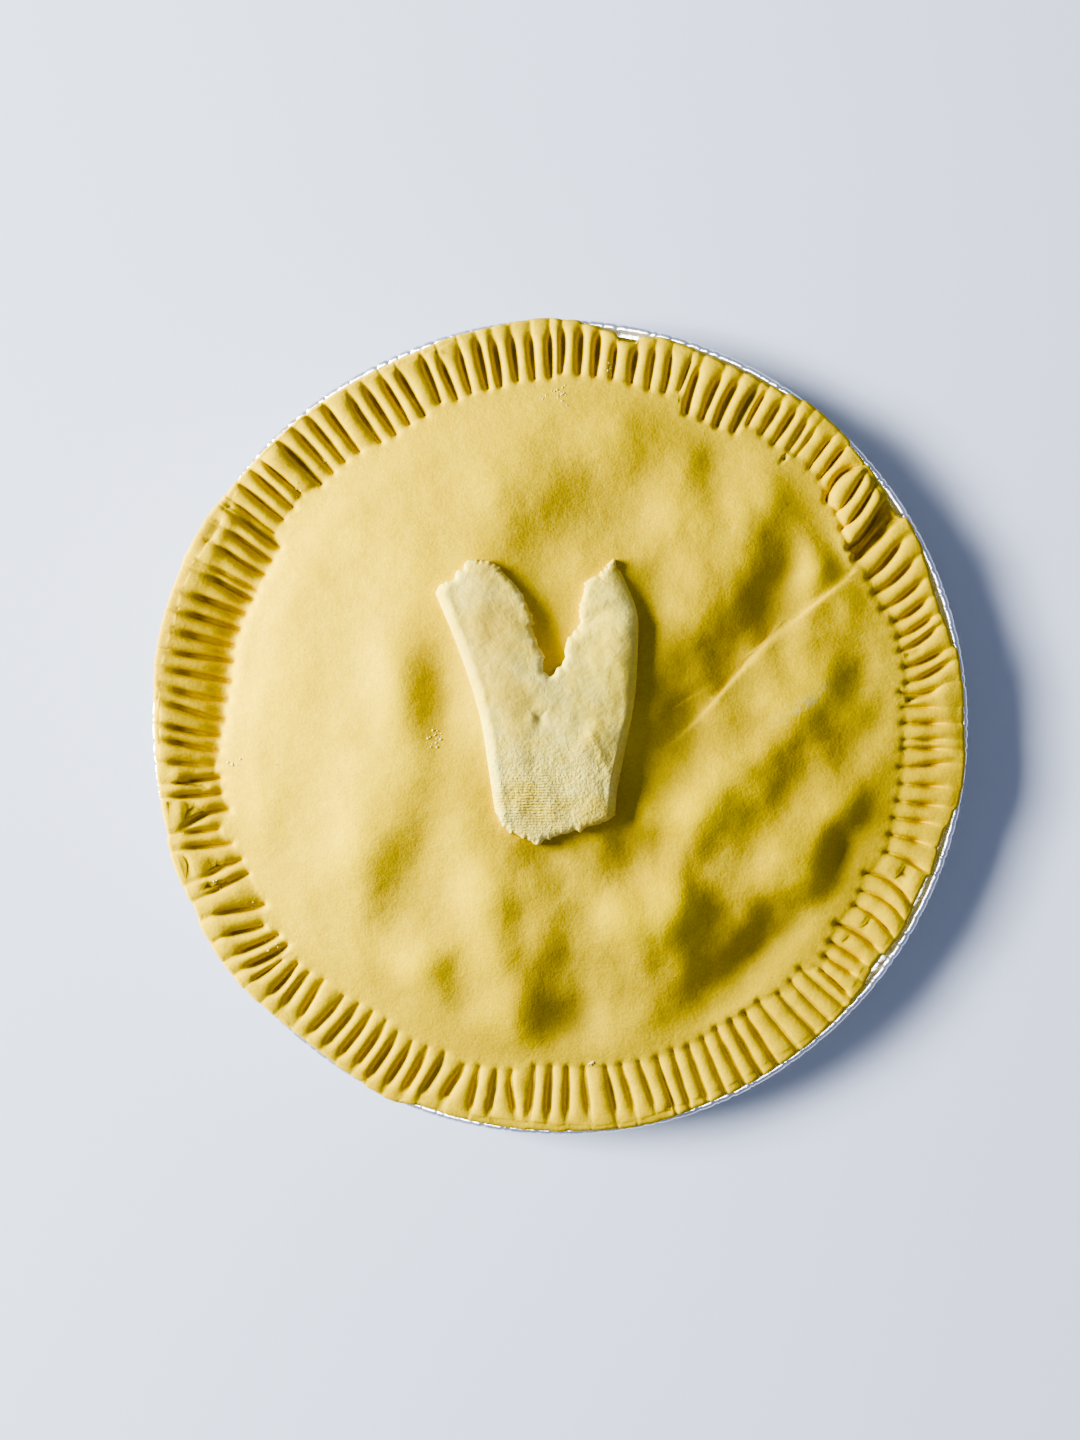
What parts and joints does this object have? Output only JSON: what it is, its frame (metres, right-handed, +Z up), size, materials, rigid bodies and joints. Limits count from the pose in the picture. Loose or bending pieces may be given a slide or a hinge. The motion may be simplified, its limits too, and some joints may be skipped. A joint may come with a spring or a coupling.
{
  "type": "venison pie",
  "caption": "Unbaked round meat pie in a rolled-rim foil dish: lumpy pastry lid with a pleat, fork-crimped edge and a forked hand-cut piece of dough on top.",
  "frame": {"origin": "centre of the dish's flat base, on the surface it stands on", "axes": "+Z up; +Y away from a viewer who sees the open end of the fork on the lid at the far side; +X to that viewer's right"},
  "size_m": [0.24, 0.24, 0.0474],
  "materials": {
    "foil": "thin bright aluminium foil, finely creased, with a rolled edge",
    "pastry": "raw shortcrust pastry, pale yellow, slightly greasy, faintly mottled",
    "floured_dough": "dry raw dough dusted with flour, paler than the lid, with torn edges"
  },
  "bodies": {
    "root": {"foil_dish": "foil", "pastry_case": "pastry", "forked_cutout": "floured_dough"}
  },
  "joints": []
}
